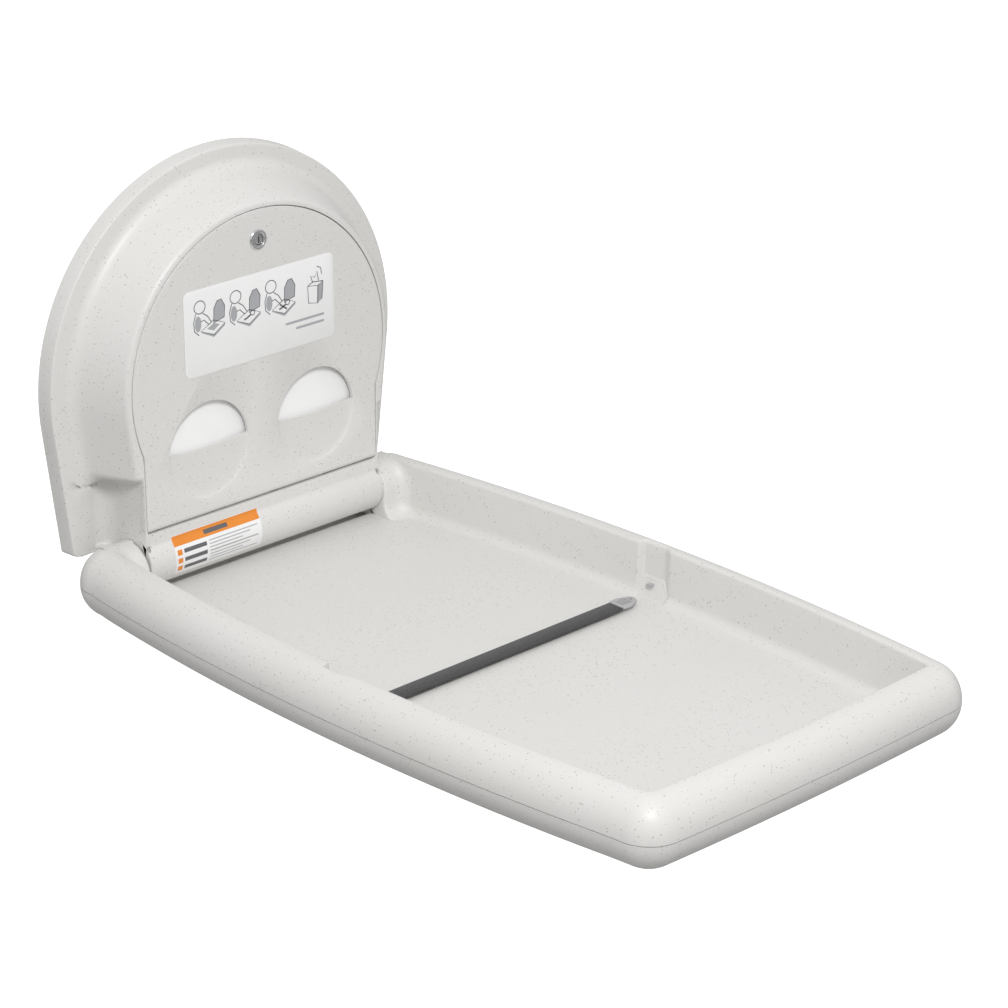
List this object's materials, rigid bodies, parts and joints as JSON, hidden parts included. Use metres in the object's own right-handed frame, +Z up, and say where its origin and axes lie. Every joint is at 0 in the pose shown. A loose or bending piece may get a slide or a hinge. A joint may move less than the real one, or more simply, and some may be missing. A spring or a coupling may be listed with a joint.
{
  "type": "wall-mounted baby changing station",
  "caption": "Light grey speckled plastic changing station on a wall: the bed folds down from an arched housing with a liner door, two paper windows, a lock and a strap.",
  "frame": {"origin": "middle of the steel wall plate's back face, on the wall", "axes": "+Y into the wall, +X to the right seen from the front, +Z up"},
  "size_m": [0.565, 0.98, 0.5097],
  "materials": {
    "shell": "light grey with fine dark and light flecks",
    "steel": "zinc plated",
    "chrome": "bright plated",
    "black_steel": "satin black",
    "nylon": "plain moulded",
    "paper": "folded tissue",
    "label": "printed film",
    "webbing": "woven nylon",
    "buckle": "moulded grey"
  },
  "bodies": {
    "frame": {"housing_shell": "shell", "wall_chassis": "steel", "wall_bolt_1": "steel", "wall_bolt_2": "steel", "wall_bolt_3": "steel", "wall_bolt_4": "steel", "bushing_left": "nylon", "bushing_right": "nylon", "liner_compartment": "nylon", "standoff_1": "steel", "standoff_2": "steel", "standoff_3": "steel", "standoff_4": "steel", "compartment_screw_1": "steel", "compartment_screw_2": "steel", "compartment_screw_3": "steel", "compartment_screw_4": "steel", "paper_liners_left": "paper", "paper_liners_right": "paper", "door_hinge_pin_left": "steel", "door_hinge_pin_right": "steel", "gas_spring_cylinder": "black_steel", "gas_spring_upper_pin": "steel", "care_label": "label"},
    "door": {"liner_door": "shell", "instruction_label": "label", "lock_barrel": "chrome", "lock_nut": "steel"},
    "lock": {"lock_plug": "chrome", "lock_cam": "steel"},
    "bed": {"bed_top_shell": "shell", "bed_bottom_shell": "shell", "bed_screw_1": "steel", "bed_screw_2": "steel", "bed_screw_3": "steel", "bed_screw_4": "steel", "bed_screw_5": "steel", "bed_screw_6": "steel", "pivot_shaft": "steel", "shaft_clip_left": "black_steel", "shaft_clip_right": "black_steel", "hinge_arm_left": "steel", "hinge_arm_right": "steel", "crank_lever": "steel", "crank_pin": "steel", "strap_anchor": "steel", "strap_receiver": "buckle"},
    "spring_rod": {"gas_spring_rod": "chrome", "gas_spring_eye": "steel"},
    "strap": {"strap_webbing": "webbing"},
    "tongue": {"strap_tongue": "buckle"}
  },
  "joints": [
    {"name": "bed_fold", "type": "hinge", "parent": "frame", "child": "bed", "pos_m": [0, -0.062, -0.21], "axis": [-1, 0, 0], "range_deg": [0, 90]},
    {"name": "door_swing", "type": "hinge", "parent": "frame", "child": "door", "pos_m": [0, -0.08, -0.163], "axis": [-1, 0, 0], "range_deg": [-80, 0]},
    {"name": "lock_turn", "type": "hinge", "parent": "door", "child": "lock", "pos_m": [0, -0.087, 0.152], "axis": [0, -1, 0], "range_deg": [0, 90]},
    {"name": "spring_slide", "type": "slide", "parent": "frame", "child": "spring_rod", "axis": [0, 0, -1], "range_m": [0, 0.0284]},
    {"name": "strap_lift", "type": "hinge", "parent": "bed", "child": "strap", "pos_m": [-0.244, -0.498, -0.2358], "axis": [0, 1, 0], "range_deg": [-70, 0]},
    {"name": "tongue_lift", "type": "hinge", "parent": "strap", "child": "tongue", "pos_m": [0.184, -0.498, -0.2392], "axis": [0, 1, 0], "range_deg": [-60, 0]}
  ],
  "couplings": [
    {"joint": "spring_slide", "follows": "bed_fold", "m_per_rad": 0.018006}
  ]
}
